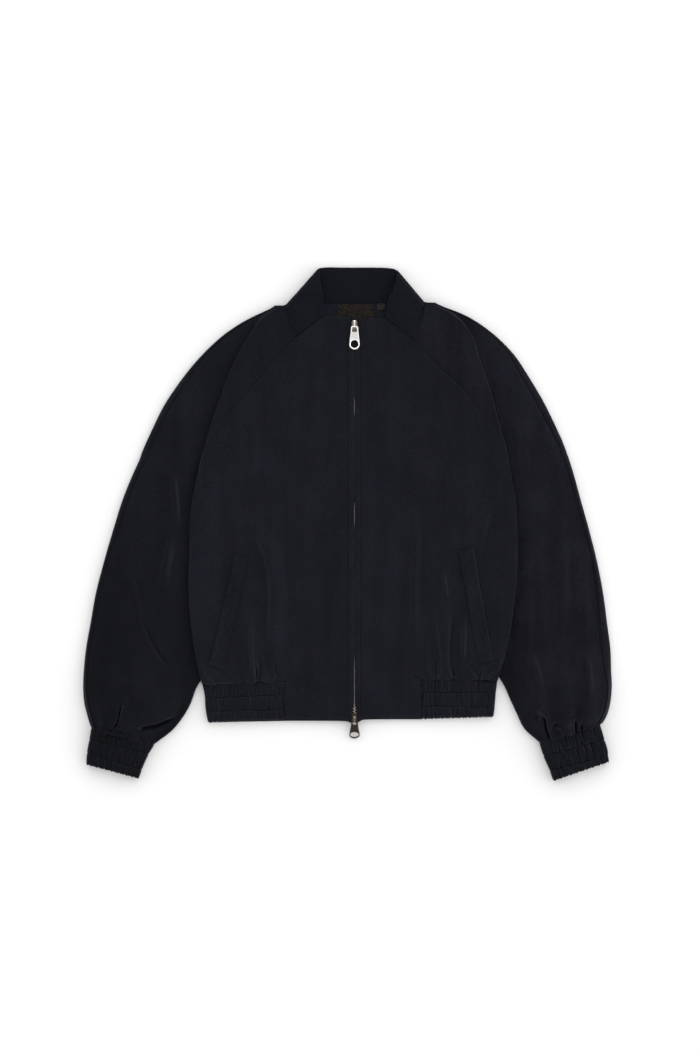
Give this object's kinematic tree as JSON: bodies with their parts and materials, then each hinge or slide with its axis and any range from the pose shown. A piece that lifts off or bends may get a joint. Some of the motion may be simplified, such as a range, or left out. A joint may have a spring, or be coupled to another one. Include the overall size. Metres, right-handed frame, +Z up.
{
  "type": "bomber jacket laid flat",
  "caption": "Zipped bomber jacket with raglan sleeves, stand collar, slanted pockets and elastic hem and cuffs, laid flat on its back with its sleeves beside the body.",
  "frame": {"origin": "on the surface that the jacket lies on, under the middle of the whole jacket", "axes": "+Z up from the surface, out of the jacket's front; +Y from the hem toward the collar; +X across, toward the right-hand side as seen from above, which is the wearer's left"},
  "size_m": [0.7936, 0.77, 0.0203],
  "materials": {
    "shell_twill": "very dark navy, fine dense twill with a faint sheen",
    "collar_rib": "very dark navy, finely ribbed, matte",
    "label": "dark brown woven label, left bare",
    "size_tab": "small black tab, left bare",
    "zip_tape": "dark woven tape",
    "zip_teeth": "dull brown metal teeth",
    "silver_metal": "polished silver-coloured metal",
    "dark_metal": "dark antique metal, polished"
  },
  "bodies": {
    "jacket": {"back": "shell_twill", "front_left": "shell_twill", "front_right": "shell_twill", "sleeve_front_left": "shell_twill", "sleeve_front_right": "shell_twill", "sleeve_back_left": "shell_twill", "sleeve_back_right": "shell_twill", "hem_band_left": "shell_twill", "hem_band_right": "shell_twill", "hem_band_back": "shell_twill", "cuff_left": "shell_twill", "cuff_right": "shell_twill", "pocket_welt_left": "shell_twill", "pocket_welt_right": "shell_twill", "neck_facing": "shell_twill", "collar": "collar_rib", "neck_label": "label", "size_tab": "size_tab", "zip_tape_left": "zip_tape", "zip_tape_right": "zip_tape", "zip_chain": "zip_teeth", "upper_slider": "silver_metal", "lower_slider": "dark_metal"},
    "upper_pull": {"upper_pull": "silver_metal"},
    "lower_pull": {"lower_pull": "dark_metal"}
  },
  "joints": [
    {"name": "upper_pull_hinge", "type": "hinge", "parent": "jacket", "child": "upper_pull", "pos_m": [0.0105, 0.29608, 0.0074], "axis": [-1, 0, 0], "range_deg": [0, 150]},
    {"name": "lower_pull_hinge", "type": "hinge", "parent": "jacket", "child": "lower_pull", "pos_m": [0.0105, -0.29532, 0.0074], "axis": [-1, 0, 0], "range_deg": [0, 155]}
  ]
}
